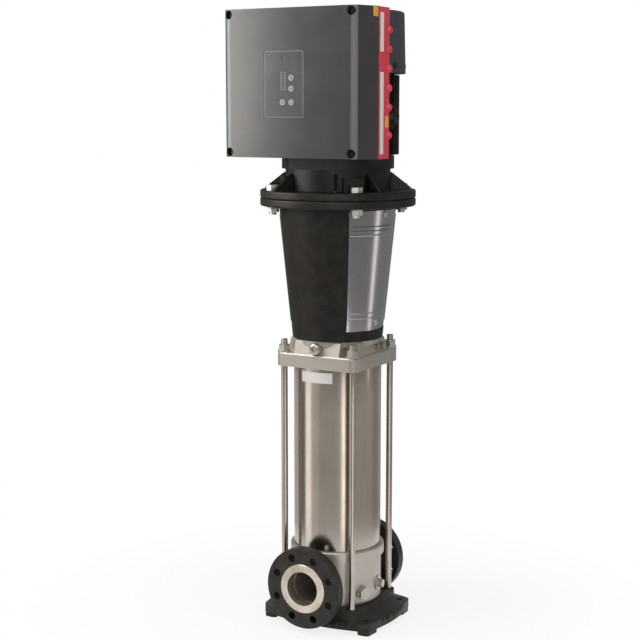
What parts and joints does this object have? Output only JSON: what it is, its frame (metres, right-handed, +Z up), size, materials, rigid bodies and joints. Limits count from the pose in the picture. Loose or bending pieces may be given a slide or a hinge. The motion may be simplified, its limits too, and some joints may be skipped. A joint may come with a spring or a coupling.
{
  "type": "vertical multistage pump",
  "caption": "Upright inline centrifugal pump with stacked stages in a sleeve, flanged side ports and a top motor with an electronic drive box.",
  "frame": {"origin": "centre of the four foundation bolt holes on the floor plane, on the pump axis", "axes": "+Z up along the pump axis, -Y towards the suction port, +Y towards the discharge port, +X to the right seen from the suction side"},
  "size_m": [0.3514, 0.3884, 1.385],
  "materials": {
    "black_iron": "painted rough casting",
    "cast_stainless": "satin casting",
    "rolled_stainless": "brushed",
    "polished_stainless": "polished sheet",
    "zinc_steel": "zinc plated",
    "stainless_fitting": "machined",
    "brass": "machined",
    "shaft_steel": "ground",
    "seal_carbon": "lapped",
    "rubber": "matt",
    "coupling_iron": "machined casting",
    "laminations": "varnished",
    "blue_grey_cowl": "satin paint",
    "fan_plastic": "moulded",
    "box_alloy": "painted alloy",
    "red_plastic": "moulded",
    "charcoal_plastic": "fine texture",
    "panel_gloss": "gloss film",
    "lens": "clear moulding",
    "silver_button": "satin plated"
  },
  "bodies": {
    "pump": {"base_plate": "black_iron", "pump_housing": "cast_stainless", "suction_collar": "cast_stainless", "discharge_collar": "cast_stainless", "drain_plug": "stainless_fitting", "gauge_plug": "stainless_fitting", "outer_sleeve": "rolled_stainless", "sleeve_o_rings": "rubber", "tie_rods": "rolled_stainless", "tie_rod_washers": "zinc_steel", "tie_rod_nuts": "zinc_steel", "pump_head": "cast_stainless", "head_plug": "brass", "head_fitting": "stainless_fitting", "stage_chambers": "rolled_stainless", "neck_rings": "seal_carbon", "shaft_bushes": "seal_carbon", "discharge_spacer": "rolled_stainless", "seal_carrier": "stainless_fitting", "seal_seat": "seal_carbon", "motor_stool": "black_iron", "guard_right": "polished_stainless", "guard_left": "polished_stainless", "guard_screws": "zinc_steel", "stool_screws": "zinc_steel", "motor_bolts": "zinc_steel", "motor_nuts": "zinc_steel", "drive_end_shield": "black_iron", "motor_frame": "black_iron", "stator": "laminations", "rear_end_shield": "black_iron", "bearing_outer_races": "shaft_steel", "fan_cowl": "blue_grey_cowl", "cowl_screws": "zinc_steel", "lifting_lug": "black_iron", "lug_bolt": "zinc_steel", "drive_base": "box_alloy", "power_board": "box_alloy", "cable_frame": "red_plastic", "front_cover": "charcoal_plastic", "cover_screws": "zinc_steel", "control_panel": "panel_gloss", "indicator_ring": "lens"},
    "rotor": {"pump_shaft": "shaft_steel", "impellers": "rolled_stainless", "seal_rotor": "shaft_steel", "coupling_half_right": "coupling_iron", "coupling_half_left": "coupling_iron", "coupling_screws": "zinc_steel", "motor_shaft": "shaft_steel", "motor_rotor": "laminations", "bearing_inner_races": "shaft_steel", "cooling_fan": "fan_plastic"},
    "suction_ring": {"suction_flange": "black_iron"},
    "discharge_ring": {"discharge_flange": "black_iron"},
    "vent": {"vent_screw": "polished_stainless"},
    "button_up_key": {"button_up": "silver_button"},
    "button_down_key": {"button_down": "silver_button"},
    "button_menu_key": {"button_menu": "silver_button"},
    "button_start_key": {"button_start": "silver_button"}
  },
  "joints": [
    {"name": "rotor_spin", "type": "hinge", "parent": "pump", "child": "rotor", "pos_m": [0, 0, 0.5], "axis": [0, 0, 1], "continuous": true},
    {"name": "suction_ring_turn", "type": "hinge", "parent": "pump", "child": "suction_ring", "pos_m": [0, -0.146, 0.105], "axis": [0, 1, 0], "continuous": true},
    {"name": "discharge_ring_turn", "type": "hinge", "parent": "pump", "child": "discharge_ring", "pos_m": [0, 0.146, 0.105], "axis": [0, 1, 0], "continuous": true},
    {"name": "vent_screw_turn", "type": "hinge", "parent": "pump", "child": "vent", "pos_m": [0, -0.1, 0.643], "axis": [0, -1, 0], "range_deg": [0, 360]},
    {"name": "button_up_press", "type": "slide", "parent": "pump", "child": "button_up_key", "axis": [0, 1, 0], "range_m": [0, 0.0008], "stiffness_N_per_m": 400},
    {"name": "button_down_press", "type": "slide", "parent": "pump", "child": "button_down_key", "axis": [0, 1, 0], "range_m": [0, 0.0008], "stiffness_N_per_m": 400},
    {"name": "button_menu_press", "type": "slide", "parent": "pump", "child": "button_menu_key", "axis": [0, 1, 0], "range_m": [0, 0.0008], "stiffness_N_per_m": 400},
    {"name": "button_start_press", "type": "slide", "parent": "pump", "child": "button_start_key", "axis": [0, 1, 0], "range_m": [0, 0.0008], "stiffness_N_per_m": 400}
  ]
}
